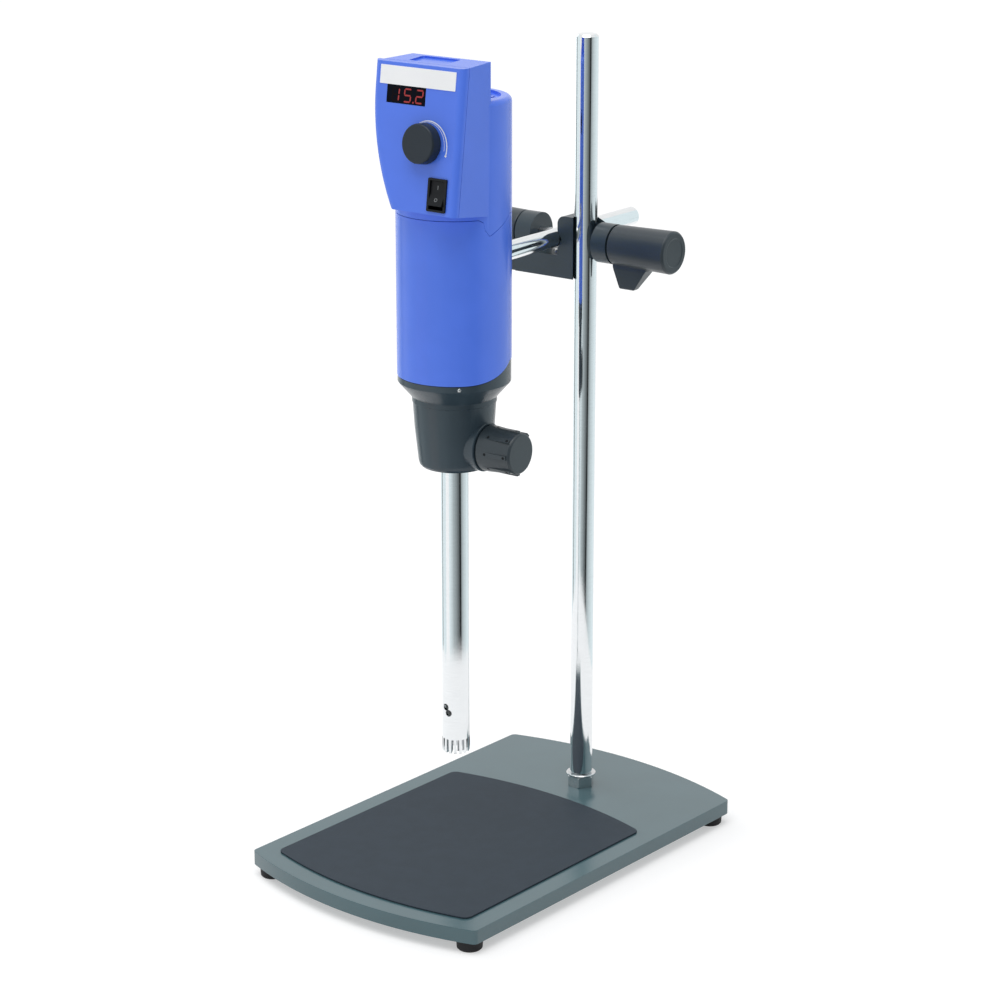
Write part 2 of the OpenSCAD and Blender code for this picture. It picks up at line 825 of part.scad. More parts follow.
module bearing_balls() {
  color([0.85, 0.85, 0.86])
  at_drive() for (h = [306.5, 414.5]) {
    for (t = [0 : 40 : 320]) {
      rotate([0, 0, t]) translate([7.6, 0, h]) sphere(1.55, $fn = 32);
    }
  }
}

module drive_coupling() {
  color([0.6, 0.61, 0.63])
  at_drive() translate([0, 0, 287]) difference() {
    union() {
      cylinder(r1 = 6.2, r2 = 6.8, h = 0.6);
      translate([0, 0, 0.6]) cylinder(r = 6.8, h = 12.7);
    }
    translate([0, 0, -1]) cylinder(r = 7 / 2 / cos(30), h = 9.2, $fn = 6);
    translate([0, 0, 9.3]) cylinder(r = 4, h = 10);
  }
}

module bearing_bridge() {
  color([0.55, 0.56, 0.58])
  at_drive() difference() {
    union() {
      translate([0, 0, 410]) cylinder(r = 14, h = 9);
      for (t = [30 : 60 : 330]) {
        rotate([0, 0, t]) translate([12, -3, 413]) cube([22, 6, 4]);
      }
      difference() {
        translate([0, 0, 412]) cylinder(r = shell_r - wall - 0.1, h = 6);
        translate([0, 0, 400]) cylinder(r = 32.8, h = 30);
      }
    }
    translate([0, 0, 409]) cylinder(r = 9, h = 20);
    translate([0, 0, 411]) cylinder(r = 11.02, h = 7.1);
    translate([0, 0, 300]) cylinder(r = 4.5, h = 200);
  }
}

module brush_holders() {
  color([0.7, 0.55, 0.25])
  at_drive() for (t = [0, 180]) {
    rotate([0, 0, t]) difference() {
      translate([10.5, -4.4, 393]) cube([20, 8.8, 9]);
      translate([9, -3.3, 394.1]) cube([20.5, 6.6, 6.8]);
    }
  }
}

module carbon_brushes() {
  color([0.12, 0.12, 0.12])
  at_drive() for (t = [0, 180]) {
    rotate([0, 0, t]) difference() {
      translate([8, -3.2, 394.2]) cube([12, 6.4, 6.6]);
      cylinder(r = 9.3, h = 500);
    }
  }
}

module brush_springs() {
  color([0.75, 0.76, 0.77])
  at_drive() for (t = [0, 180]) {
    rotate([0, 0, t]) for (x = [20.5 : 1.9 : 29]) {
      facing_x(x, 0, 397.5) rotate_extrude() translate([2.3, 0]) circle(0.35, $fn = 24);
    }
  }
}

// ---------- tool clamp ----------

module tool_pressure_pad() {
  color([0.75, 0.76, 0.77])
  at_drive() facing_x(tube_r + 0.1, 0, clamp_h) cylinder(r = 3.8, h = 3.4);
}

module tool_clamp_screw() {
  color([0.75, 0.76, 0.77])
  at_drive() facing_x(tube_r + 3.5, 0, clamp_h) cylinder(r = screw_r, h = 32);
}

module tool_clamp_knob() {
  color([0.2, 0.24, 0.28])
  at_drive() facing_x(28, 0, clamp_h) difference() {
    union() {
      rotate_extrude()
        polygon([[0, 0], [13.5, 0], [13.5, 0.6], [15, 0.6], [15.4, 1.1], [15.4, 5], [13.9, 25.7],
          [13.2, 26.7], [12.2, 27.1], [0, 27.1]]);
      for (t = [0 : 45 : 315]) {
        rotate([0, 0, t]) translate([12.6, -1.5, 6.5]) cube([2.7, 3, 18.6]);
      }
    }
    translate([0, 0, -1]) cylinder(r = 4, h = 19);
  }
}

// ---------- dispersing tool ----------

module stator_tube() {
  color([0.78, 0.79, 0.8])
  at_drive() difference() {
    rotate_extrude()
      polygon([[rotor_r + 0.4, tip_h], [tube_r - 0.3, tip_h], [tube_r, tip_h + 0.3],
        [tube_r, 297.5], [tube_r - 0.5, 298], [tube_bore, 298], [tube_bore, tip_h + 14],
        [rotor_r + 0.4, tip_h + 13]]);
    for (t = [0 : 360 / stator_slots : 179.9]) {
      rotate([0, 0, t]) translate([-20, -slot_w / 2, tip_h - 1]) cube([40, slot_w, 10.9]);
    }
    for (t = [0, 180]) {
      rotate([0, 0, t]) translate([-1.5, 0, tip_h + 33.3]) rotate([90, 0, 0]) cylinder(r = 2.4, h = 20);
      rotate([0, 0, t]) translate([0.8, 0, tip_h + 29.3]) rotate([90, 0, 0]) cylinder(r = 2.4, h = 20);
    }
  }
}

module shaft_bushes() {
  color([0.93, 0.93, 0.9])
  at_drive() for (h = [tip_h + 18, 180, 268]) {
    translate([0, 0, h]) difference() {
      cylinder(r = tube_bore, h = 8);
      translate([0, 0, -1]) cylinder(r = 4.05, h = 20);
    }
  }
}

module rotor_shaft() {
  color([0.78, 0.79, 0.8])
  at_drive() {
    translate([0, 0, tip_h + 9]) cylinder(r = 4, h = 286 - tip_h - 9);
    translate([0, 0, 285.9]) cylinder(r = 6.8 / 2 / cos(30), h = 8.6, $fn = 6);
  }
}

module rotor_head() {
  color([0.78, 0.79, 0.8])
  at_drive() translate([0, 0, tip_h]) difference() {
    union() {
      translate([0, 0, 9]) cylinder(r = rotor_r, h = 3.4);
      translate([0, 0, 0.8]) difference() {
        cylinder(r = rotor_r, h = 9);
        translate([0, 0, -1]) cylinder(r = 4.4, h = 12);
      }
    }
    translate([0, 0, -1]) cylinder(r = 4, h = 20);
    for (t = [0, 60, 120]) {
      rotate([0, 0, t]) translate([-10, -1.6, -1]) cube([20, 3.2, 9]);
    }
  }
}

base_plate();
work_mat();
rubber_feet();
foot_screws();
lock_nut();
rod_washer();
stand_rod();
boss_head();
rest_pin();
rod_pressure_pad();
rod_clamp_screw();
rod_clamp_knob();
arm_pressure_pad();
arm_clamp_screw();
arm_clamp_knob();
extension_arm();
front_cover();
rear_housing();
motor_shell();
shaft_flange();
label_plate();
display_window();
display_module();
display_board();
control_board();
board_parts();
potentiometer();
speed_knob();
knob_spindle();
switch_frame();
switch_body();
switch_rocker();
arm_socket();
cable_gland();
gland_sleeve();
housing_screws();
field_core();
field_coils();
bearing_bridge();
bearing_outer_rings();
bearing_balls();
brush_holders();
carbon_brushes();
brush_springs();
motor_shaft();
armature_core();
armature_windings();
commutator();
cooling_fan();
bearing_inner_rings();
drive_coupling();
tool_pressure_pad();
tool_clamp_screw();
tool_clamp_knob();
stator_tube();
shaft_bushes();
rotor_shaft();
rotor_head();
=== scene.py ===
import json
import math

import bmesh
import bpy
from mathutils import Matrix, Vector
from mathutils.bvhtree import BVHTree

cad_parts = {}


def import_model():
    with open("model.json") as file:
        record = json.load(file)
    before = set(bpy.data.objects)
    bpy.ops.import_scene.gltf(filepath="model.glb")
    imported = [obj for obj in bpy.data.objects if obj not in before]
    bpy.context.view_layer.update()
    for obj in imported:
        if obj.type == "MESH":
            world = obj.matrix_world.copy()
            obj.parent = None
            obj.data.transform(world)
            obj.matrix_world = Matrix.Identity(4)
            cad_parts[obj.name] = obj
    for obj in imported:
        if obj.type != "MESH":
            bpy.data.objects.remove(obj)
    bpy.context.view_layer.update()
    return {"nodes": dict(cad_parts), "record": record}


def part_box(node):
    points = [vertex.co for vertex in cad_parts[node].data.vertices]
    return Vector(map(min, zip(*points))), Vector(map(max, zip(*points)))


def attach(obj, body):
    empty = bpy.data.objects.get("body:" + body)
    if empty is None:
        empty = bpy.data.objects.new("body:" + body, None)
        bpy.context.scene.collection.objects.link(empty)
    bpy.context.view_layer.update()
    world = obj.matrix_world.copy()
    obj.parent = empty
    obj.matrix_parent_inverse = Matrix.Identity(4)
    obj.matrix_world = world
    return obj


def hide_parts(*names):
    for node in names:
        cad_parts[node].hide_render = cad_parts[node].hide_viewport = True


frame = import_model()
nodes = frame["nodes"]
record = frame["record"]
body_by_node = {n: b for b, names in record["behaviour"]["bodies"].items() for n in names}
slot_by_node = {s["node"]: s["material_slot"] for s in record["subparts"]}
MM = 0.001

# ---------- where things are, in metres, from the frame ----------


def middle(node):
    """Middle of a CAD node's box."""
    low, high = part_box(node)
    return (Vector(low) + Vector(high)) / 2


QUARTER = math.pi / 2
MOTOR = middle("motor_shaft")
PLATE_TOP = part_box("base_plate")[1][2]
SWING = math.radians(3)  # the drive is turned this far round its upright axis
LEAN = math.radians(7.4)  # the panel leans back
PANEL_SPOT = (0, -0.040, 0.500)
TOOL_CLAMP_HEIGHT = 0.282
AT_DRIVE = Matrix.Translation((MOTOR.x, MOTOR.y, PLATE_TOP)) @ Matrix.Rotation(SWING, 4, "Z")
AT_PANEL = AT_DRIVE @ Matrix.Translation(PANEL_SPOT) @ Matrix.Rotation(QUARTER - LEAN, 4, "X")

# on the panel's face, in millimetres: right and up of its origin, and below its surface
DIAL = (9.5, -11.2)
ROCKER = (22.2, -42.7)
ROCKER_DEPTH = 4.5

# ---------- materials ----------


def new_material(name, color, rough, metal=0.0, coat=0.0, spec=0.5):
    """A material with its plain values on the shader's own sockets; returns its node tools."""
    m = bpy.data.materials.new(name)
    m.use_nodes = True
    tree = m.node_tree
    shader = tree.nodes["Principled BSDF"]
    shader.inputs["Base Color"].default_value = (*color, 1)
    shader.inputs["Roughness"].default_value = rough
    shader.inputs["Metallic"].default_value = metal
    shader.inputs["Specular IOR Level"].default_value = spec
    shader.inputs["Coat Weight"].default_value = coat
    return m, tree, shader


def add(tree, kind, **values):
    """A node with its named inputs set."""
    n = tree.nodes.new(kind)
    for key, value in values.items():
        key = key.replace("_", " ")
        if key in n.inputs:
            n.inputs[key].default_value = value
        else:
            setattr(n, key.replace(" ", "_"), value)
    return n


def object_point(tree, scale=(1, 1, 1)):
    """Object coordinates, stretched."""
    place = add(tree, "ShaderNodeTexCoord")
    mapping = add(tree, "ShaderNodeMapping")
    mapping.inputs["Scale"].default_value = scale
    tree.links.new(place.outputs["Object"], mapping.inputs["Vector"])
    return mapping.outputs["Vector"]


def grain(tree, point, size, detail=3.0):
    """Noise whose features are about that size in metres."""
    n = add(tree, "ShaderNodeTexNoise", Scale=1 / size, Detail=detail, Roughness=0.6)
    tree.links.new(point, n.inputs["Vector"])
    return n.outputs["Fac"]


PATTERN_LOW, PATTERN_HIGH = 0.3, 0.7  # the part of a noise pattern's range that is used


def spread(tree, value, low, high):
    """Maps the used part of a pattern onto low to high."""
    r = add(tree, "ShaderNodeMapRange")
    r.interpolation_type = "SMOOTHSTEP"
    ends = {"From Min": PATTERN_LOW, "From Max": PATTERN_HIGH, "To Min": low, "To Max": high}
    for key, number in ends.items():
        r.inputs[key].default_value = number
    tree.links.new(value, r.inputs["Value"])
    return r.outputs["Result"]


def tint(tree, value, dark, light):
    """Colour that runs from dark to light with a pattern."""
    ramp = add(tree, "ShaderNodeValToRGB")
    ramp.color_ramp.interpolation = "EASE"
    ramp.color_ramp.elements[0].position = PATTERN_LOW
    ramp.color_ramp.elements[1].position = PATTERN_HIGH
    ramp.color_ramp.elements[0].color = (*dark, 1)
    ramp.color_ramp.elements[1].color = (*light, 1)
    tree.links.new(value, ramp.inputs["Fac"])
    return ramp.outputs["Color"]


def relief(tree, shader, value, height):
    """Bump of that height in metres."""
    b = add(tree, "ShaderNodeBump", Strength=1.0, Distance=height)
    tree.links.new(value, b.inputs["Height"])
    tree.links.new(b.outputs["Normal"], shader.inputs["Normal"])


def colored(tree, shader, value, dark, light):
    """Base colour that runs between two colours with a pattern."""
    tree.links.new(tint(tree, value, dark, light), shader.inputs["Base Color"])


def scaled(color, factor):
    """A colour made lighter or darker."""
    return tuple(min(1.0, c * factor) for c in color)


def moulded_plastic(name, color, rough, texture=0.00045, height=0.00002, vary=0.05, spec=0.5):
    """Injection moulded plastic with a fine spark eroded skin and slight handling sheen."""
    m, tree, shader = new_material(name, color, rough, spec=spec)
    point = object_point(tree)
    cloud = grain(tree, point, 0.03, 2)
    colored(tree, shader, cloud, scaled(color, 1 - vary), scaled(color, 1 + vary))
    fine = grain(tree, point, texture, 2)
    tree.links.new(spread(tree, cloud, rough - 0.01, rough + 0.02), shader.inputs["Roughness"])
    relief(tree, shader, fine, height)
    return m


def ground_steel(name, color, rough, across=0.00012, smudge_size=0.02, height=0.000004):
    """Metal ground round its upright axis: very fine lines that follow it."""
    m, tree, shader = new_material(name, color, rough, metal=1.0)
    lines = grain(tree, object_point(tree, scale=(0.02, 0.02, 1)), across, 4)
    smudge = grain(tree, object_point(tree), smudge_size, 3)
    colored(tree, shader, lines, scaled(color, 0.93), scaled(color, 1.04))
    tree.links.new(spread(tree, smudge, rough * 0.8, rough * 1.3), shader.inputs["Roughness"])
    relief(tree, shader, lines, height)
    return m


def coated_metal(name, color, rough, texture=0.0009, height=0.00003, spec=0.5, sheen=0.0):
    """Powder coat: soft orange peel with a finer sparkle in its gloss."""
    m, tree, shader = new_material(name, color, rough, spec=spec)
    shader.inputs["Sheen Weight"].default_value = sheen
    shader.inputs["Sheen Roughness"].default_value = 0.35
    point = object_point(tree)
    peel = grain(tree, point, texture, 2)
    cloud = grain(tree, point, 0.05, 3)
    colored(tree, shader, cloud, scaled(color, 0.96), scaled(color, 1.04))
    tree.links.new(spread(tree, peel, rough - 0.03, rough + 0.04), shader.inputs["Roughness"])
    relief(tree, shader, peel, height)
    return m


def soft_rubber(name, color, rough, texture=0.0006, height=0.00004):
    """Matt rubber with a fine pebbled skin and a little dust in the hollows."""
    m, tree, shader = new_material(name, color, rough, spec=0.2)
    point = object_point(tree)
    cells = add(tree, "ShaderNodeTexVoronoi", Scale=1 / texture)
    tree.links.new(point, cells.inputs["Vector"])
    dust = grain(tree, point, 0.012, 4)
    colored(tree, shader, dust, scaled(color, 0.96), scaled(color, 1.06))
    relief(tree, shader, cells.outputs["Distance"], height)
    return m


WAVES_PER_SCALE = 3.3  # about how many bands the wave texture draws in a metre at a scale of 1


def banded(name, color, rough, pitch, height):
    """Stacked sheets or wound wire: close bands one above another."""
    m, tree, shader = new_material(name, color, rough, metal=1.0)
    point = object_point(tree)
    wave = add(tree, "ShaderNodeTexWave", Scale=1 / pitch / WAVES_PER_SCALE, Distortion=0.3)
    wave.bands_direction = "Z"
    tree.links.new(point, wave.inputs["Vector"])
    colored(tree, shader, wave.outputs["Fac"], scaled(color, 0.7), scaled(color, 1.1))
    relief(tree, shader, wave.outputs["Fac"], height)
    return m


def printed_board(name, color):
    """Circuit board laminate with pale tracks under its lacquer."""
    m, tree, shader = new_material(name, color, 0.35, coat=0.4)
    bricks = add(tree, "ShaderNodeTexBrick", Scale=260.0)
    bricks.inputs["Color1"].default_value = (*color, 1)
    bricks.inputs["Color2"].default_value = (*scaled(color, 1.2), 1)
    bricks.inputs["Mortar"].default_value = (*scaled(color, 2.2), 1)
    tree.links.new(object_point(tree), bricks.inputs["Vector"])
    tree.links.new(bricks.outputs["Color"], shader.inputs["Base Color"])
    return m


def glowing(name, color, strength):
    """Lit plastic."""
    m, _, shader = new_material(name, scaled(color, 0.12), 0.4)
    shader.inputs["Emission Color"].default_value = (*color, 1)
    shader.inputs["Emission Strength"].default_value = strength
    return m


FINISH = {
    "plate_paint": coated_metal("plate_paint", (0.040, 0.100, 0.118), 0.20, height=0.000004,
                                spec=0.75, sheen=0.35),
    "mat_rubber": soft_rubber("mat_rubber", (0.026, 0.038, 0.052), 0.6),
    "foot_rubber": soft_rubber("foot_rubber", (0.02, 0.02, 0.022), 0.6),
    "bright_steel": ground_steel("bright_steel", (0.62, 0.63, 0.64), 0.2),
    "chrome_steel": ground_steel("chrome_steel", (0.80, 0.82, 0.83), 0.09),
    "cast_grey": coated_metal("cast_grey", (0.024, 0.041, 0.051), 0.31, texture=0.0007, height=0.000014),
    "knob_plastic": moulded_plastic("knob_plastic", (0.026, 0.038, 0.047), 0.35, height=0.000012),
    "blue_plastic": moulded_plastic("blue_plastic", (0.078, 0.195, 0.86), 0.25, height=0.000006, vary=0.02),
    "flange_plastic": moulded_plastic("flange_plastic", (0.030, 0.050, 0.066), 0.25, height=0.000008),
    "label_white": moulded_plastic("label_white", (0.95, 0.96, 0.97), 0.32, texture=0.002,
                                   height=0.000004, vary=0.015),
    "window_dark": moulded_plastic("window_dark", (0.004, 0.005, 0.010), 0.12, texture=0.01,
                                   height=0.000001, spec=0.03),
    "black_plastic": moulded_plastic("black_plastic", (0.006, 0.007, 0.009), 0.38, spec=0.2),
    "board_green": printed_board("board_green", (0.02, 0.12, 0.05)),
    "parts_blue": moulded_plastic("parts_blue", (0.03, 0.05, 0.2), 0.3),
    "coil_copper": banded("coil_copper", (0.5, 0.2, 0.07), 0.3, 0.0007, 0.0001),
    "core_steel": banded("core_steel", (0.25, 0.25, 0.26), 0.4, 0.0005, 0.00005),
    "brush_brass": ground_steel("brush_brass", (0.6, 0.42, 0.15), 0.3),
    "carbon": moulded_plastic("carbon", (0.02, 0.02, 0.02), 0.6),
    "bush_white": moulded_plastic("bush_white", (0.8, 0.8, 0.77), 0.35, vary=0.02),
    "bridge_alloy": coated_metal("bridge_alloy", (0.5, 0.51, 0.53), 0.4),
}
LIT_RED = glowing("lit_red", (1.0, 0.022, 0.03), 0.20)
UNLIT_RED = moulded_plastic("unlit_red", (0.009, 0.005, 0.006), 0.2, texture=0.01, height=0.000001, spec=0.03)
MARK_WHITE = moulded_plastic("mark_white", (0.8, 0.84, 0.92), 0.5, texture=0.001, height=0.000002, vary=0.02)
MARK_GREY = moulded_plastic("mark_grey", (0.22, 0.23, 0.24), 0.5, texture=0.001, height=0.000002, vary=0.02)
# painted shade: a near black for the hollows of the tool knob's dimples, which are drawn as flat discs
PAINTED_RECESS_SHADE = moulded_plastic("recess_dark", (0.006, 0.008, 0.010), 0.7, spec=0.2)
DIAL_PLASTIC = moulded_plastic("dial_plastic", (0.010, 0.018, 0.028), 0.4, height=0.000012, spec=0.35)

for name, o in nodes.items():
    o.data.materials.clear()
    o.data.materials.append(FINISH[slot_by_node[name]])

# ---------- making pieces ----------


def mesh_piece(name, mesh, body, slot, material=None):
    """A finished mesh as a piece that rides on a body."""
    o = bpy.data.objects.new(name, mesh)
    bpy.context.scene.collection.objects.link(o)
    mesh.materials.clear()
    mesh.materials.append(material or FINISH[slot])
    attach(o, body)
    return o


def from_bmesh(name, bm, outward=True):
    """A new mesh from the faces made so far, which point outward if asked."""
    if outward:
        bmesh.ops.recalc_face_normals(bm, faces=bm.faces)
    mesh = bpy.data.meshes.new(name)
    bm.to_mesh(mesh)
    bm.free()
    return mesh


def baked(o):
    """The object's mesh with its modifiers worked in; the object is removed."""
    bpy.context.view_layer.update()
    graph = bpy.context.evaluated_depsgraph_get()
    mesh = bpy.data.meshes.new_from_object(o.evaluated_get(graph))
    bpy.data.objects.remove(o)
    return mesh


def shade(mesh, angle=35):
    """Smooth faces, with edges sharper than the angle kept crisp."""
    bm = bmesh.new()
    bm.from_mesh(mesh)
    for f in bm.faces:
        f.smooth = True
    for e in bm.edges:
        e.smooth = not (len(e.link_faces) == 2 and e.calc_face_angle(0) > math.radians(angle))
    bm.to_mesh(mesh)
    bm.free()


def flat_faces_flat(mesh):
    """Normals weighted by area, so that a broken edge doesn't shade the wide faces beside it."""
    o = bpy.data.objects.new("normals_work", mesh)
    bpy.context.scene.collection.objects.link(o)
    weighted = o.modifiers.new("normals", "WEIGHTED_NORMAL")
    weighted.weight = 80
    weighted.keep_sharp = True
    return baked(o)


def keep_close(mesh, original, reach):
    """Brings back to the original surface any corner that an edge round threw further off than reach."""
    bm = bmesh.new()
    bm.from_mesh(original)
    surface = BVHTree.FromBMesh(bm)
    bm.free()
    for v in mesh.vertices:
        spot, _, _, distance = surface.find_nearest(v.co)
        if distance > reach:
            v.co = spot


EDGE_ANGLE = 28  # degrees; an edge sharper than this is broken
SAME_POINT = 2e-6  # metres
SAME_PLANE = 0.4  # degrees


def eased(node, width, segments=2, material=None):
    """The CAD node's own shape with its edges broken by a small round, inside the same outline."""
    mesh = nodes[node].data.copy()
    bm = bmesh.new()
    bm.from_mesh(mesh)
    bmesh.ops.remove_doubles(bm, verts=bm.verts, dist=SAME_POINT)
    bmesh.ops.dissolve_limit(bm, angle_limit=math.radians(SAME_PLANE), verts=bm.verts, edges=bm.edges)
    bm.to_mesh(mesh)
    bm.free()
    o = bpy.data.objects.new(node + "_work", mesh)
    bpy.context.scene.collection.objects.link(o)
    bevel = o.modifiers.new("edge", "BEVEL")
    bevel.width = width
    bevel.segments = segments
    bevel.limit_method = "ANGLE"
    bevel.angle_limit = math.radians(EDGE_ANGLE)
    bevel.use_clamp_overlap = True
    mesh = baked(o)
    keep_close(mesh, nodes[node].data, width)
    shade(mesh)
    mesh = flat_faces_flat(mesh)
    piece = mesh_piece(node + "_finished", mesh, body_by_node[node], slot_by_node[node], material)
    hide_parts(node)
    return piece


EDGE_WIDTHS = {
    "base_plate": 0.0009, "work_mat": 0.0004, "boss_head": 0.0009, "front_cover": 0.0007,
    "rear_housing": 0.0006, "lock_nut": 0.0003,
    "label_plate": 0.0001, "display_window": 0.0002, "switch_frame": 0.0003,
    "switch_rocker": 0.0005, "cable_gland": 0.0004,
    "rod_clamp_knob": 0.0009, "arm_clamp_knob": 0.0009, "tool_clamp_knob": 0.0005,
    "shaft_flange": 0.0005, "motor_shell": 0.0003,
}
for node, width in EDGE_WIDTHS.items():
    eased(node, width)
eased("speed_knob", 0.0014, segments=4, material=DIAL_PLASTIC)

# ---------- the display, the scale and the switch marks ----------


def prism(bm, outline, low, high, place):
    """A flat outline in millimetres, drawn from low to high, through a placing matrix."""
    bottom = [bm.verts.new(place @ Vector((x * MM, y * MM, low * MM))) for x, y in outline]
    top = [bm.verts.new(place @ Vector((x * MM, y * MM, high * MM))) for x, y in outline]
    bm.faces.new(reversed(bottom))
    bm.faces.new(top)
    for i in range(len(outline)):
        j = (i + 1) % len(outline)
        bm.faces.new((bottom[i], bottom[j], top[j], top[i]))


def prisms(name, outlines, low, high, place, body, slot, material):
    """Flat outlines of one height as one piece."""
    bm = bmesh.new()
    for outline in outlines:
        prism(bm, outline, low, high, place)
    mesh_piece(name, from_bmesh(name, bm), body, slot, material)


def disc(x, y, r, steps=20):
    """A round outline."""
    angles = [math.tau * i / steps for i in range(steps)]
    return [(x + r * math.cos(a), y + r * math.sin(a)) for a in angles]


def ring_sectors(x, y, inner, outer, count):
    """A ring as short four-sided outlines."""
    outlines = []
    for i in range(count):
        a, b = math.tau * i / count, math.tau * (i + 1) / count
        outlines.append([(x + r * math.cos(t), y + r * math.sin(t)) for r, t in
                         ((inner, a), (outer, a), (outer, b), (inner, b))])
    return outlines


def bar(x, y, w, h, slant, base):
    """One display bar: a stretched hexagon, leaning with the digit."""
    if w > h:
        half = h / 2
        pts = [(x, y + half), (x + half, y), (x + w - half, y), (x + w, y + half), (x + w - half, y + h),
               (x + half, y + h)]
    else:
        half = w / 2
        pts = [(x + half, y), (x + w, y + half), (x + w, y + h - half), (x + half, y + h), (x, y + h - half),
               (x, y + half)]
    return [(px + slant * (py - base), py) for px, py in pts]


DIGIT_BARS = {"1": "bc", "5": "afgcd", "2": "abged"}


def digit_outlines(text, x0, y0, w, h, t, pitch, slant):
    """Lit and unlit bars of a row of seven-bar digits, w wide, h tall and t thick, the first at x0, y0."""
    lit, dark = [], []
    half = (h - t) / 2
    flat, tall = w - t * 0.6, half - t * 0.4
    low, high = y0 + t * 0.7, y0 + half + t * 0.7
    for i, ch in enumerate(text):
        x = x0 + i * pitch
        inner, left, right = x + t * 0.3, x - t * 0.2, x + w - t * 0.8
        bars = {
            "a": (inner, y0 + h - t, flat, t), "g": (inner, y0 + half, flat, t), "d": (inner, y0, flat, t),
            "f": (left, high, t, tall), "b": (right, high, t, tall),
            "e": (left, low, t, tall), "c": (right, low, t, tall),
        }
        for key, (bx, by, bw, bh) in bars.items():
            (lit if key in DIGIT_BARS[ch] else dark).append(bar(bx, by, bw, bh, slant, y0))
    return lit, dark


DIGITS = {"x0": -20.1, "y0": 13.0, "w": 5.7, "h": 9.1, "t": 1.0, "pitch": 9.6, "slant": 0.08}
DECIMAL_POINT = (-2.5, 13.5, 0.62)
WINDOW_FACE = 0.2
BAR_FOOT, LIT_TOP, DARK_TOP = WINDOW_FACE - 0.05, WINDOW_FACE + 0.03, WINDOW_FACE + 0.02
lit, dark = digit_outlines("152", **DIGITS)
lit.append(disc(*DECIMAL_POINT))
prisms("display_lit_bars", lit, BAR_FOOT, LIT_TOP, AT_PANEL, "drive", "window_dark", LIT_RED)
prisms("display_dark_bars", dark, BAR_FOOT, DARK_TOP, AT_PANEL, "drive", "window_dark", UNLIT_RED)


def sweep(center, r0, r1, start, end, width, steps=48):
    """A line of even width that winds out from one radius to another between two angles."""
    outside, inside = [], []
    for i in range(steps + 1):
        t = i / steps
        a = math.radians(start + (end - start) * t)
        r = r0 + (r1 - r0) * t
        fade = width / 2 * min(1.0, 0.3 + 2 * t)
        outside.append((center[0] + (r + fade) * math.cos(a), center[1] + (r + fade) * math.sin(a)))
        inside.append((center[0] + (r - fade) * math.cos(a), center[1] + (r - fade) * math.sin(a)))
    return outside + inside[::-1]


SCALE_START, SCALE_END, SCALE_REACH = 126, -20, 18.0
scale_end_angle = math.radians(SCALE_END)
scale_end = (DIAL[0] + SCALE_REACH * math.cos(scale_end_angle),
             DIAL[1] + SCALE_REACH * math.sin(scale_end_angle))
scale_lines = [
    sweep(DIAL, 13.3, SCALE_REACH, SCALE_START, SCALE_END, 0.75),
    sweep(DIAL, 13.1, 15.6, SCALE_START, SCALE_END + 8, 0.3),
    disc(*scale_end, 0.8),
]
prisms("speed_scale_arc", scale_lines, -0.02, 0.05, AT_PANEL, "drive", "label_white", MARK_WHITE)

rocker_place = AT_PANEL @ Matrix.Translation((ROCKER[0] * MM, ROCKER[1] * MM, -ROCKER_DEPTH * MM))
ROCKER_TILT = math.radians(-11)
ROCKER_FALL = math.atan(1.3 / 7.9)  # each half of the rocker falls towards its middle
MARK_OUT, MARK_UP = 4 * MM, 5.26 * MM
rocker_place = rocker_place @ Matrix.Rotation(ROCKER_TILT, 4, "X")
ON_MARK = [[(-0.2, -1.3), (0.2, -1.3), (0.2, 1.3), (-0.2, 1.3)]]
OFF_MARK = ring_sectors(0, 0, 0.85, 1.2, 24)
for title, half, outlines in (("on", 1, ON_MARK), ("off", -1, OFF_MARK)):
    spot = rocker_place @ Matrix.Translation((0, half * MARK_OUT, MARK_UP))
    spot = spot @ Matrix.Rotation(half * ROCKER_FALL, 4, "X")
    prisms("rocker_mark_" + title, outlines, -0.02, 0.03, spot, body_by_node["switch_rocker"],
           "black_plastic", MARK_GREY)

# ---------- small fittings turned on an axis, and what repeats round one ----------


def turned(bm, profile, place, steps=24):
    """A closed profile of (radius, height) in millimetres, turned round local z."""
    rings = []
    for i in range(steps):
        a = math.tau * i / steps
        rings.append([place @ Vector((r * MM * math.cos(a), r * MM * math.sin(a), z * MM))
                      for r, z in profile])
    verts = [[bm.verts.new(p) for p in ring] for ring in rings]
    for i in range(steps):
        here, there = verts[i], verts[(i + 1) % steps]
        for j in range(len(profile) - 1):
            bm.faces.new((here[j], there[j], there[j + 1], here[j + 1]))
    bmesh.ops.remove_doubles(bm, verts=bm.verts, dist=1e-7)


FLANGE_RIM, INDEX_TURN, INDEX_HEIGHT = 37.8, math.radians(-47.5), 326.4
INDEX_PROFILE = [(0, 35), (1.15, 35), (1.15, FLANGE_RIM + 0.05), (0.8, FLANGE_RIM + 0.35),
                 (0, FLANGE_RIM + 0.45)]
at_index = AT_DRIVE @ Matrix.Rotation(INDEX_TURN, 4, "Z") @ Matrix.Rotation(QUARTER, 4, "Y")
index_faces = bmesh.new()
turned(index_faces, INDEX_PROFILE, at_index @ Matrix.Translation((-INDEX_HEIGHT * MM, 0, 0)))
index_mesh = from_bmesh("index_stud", index_faces)
shade(index_mesh)
mesh_piece("index_stud", index_mesh, "drive", "bright_steel")


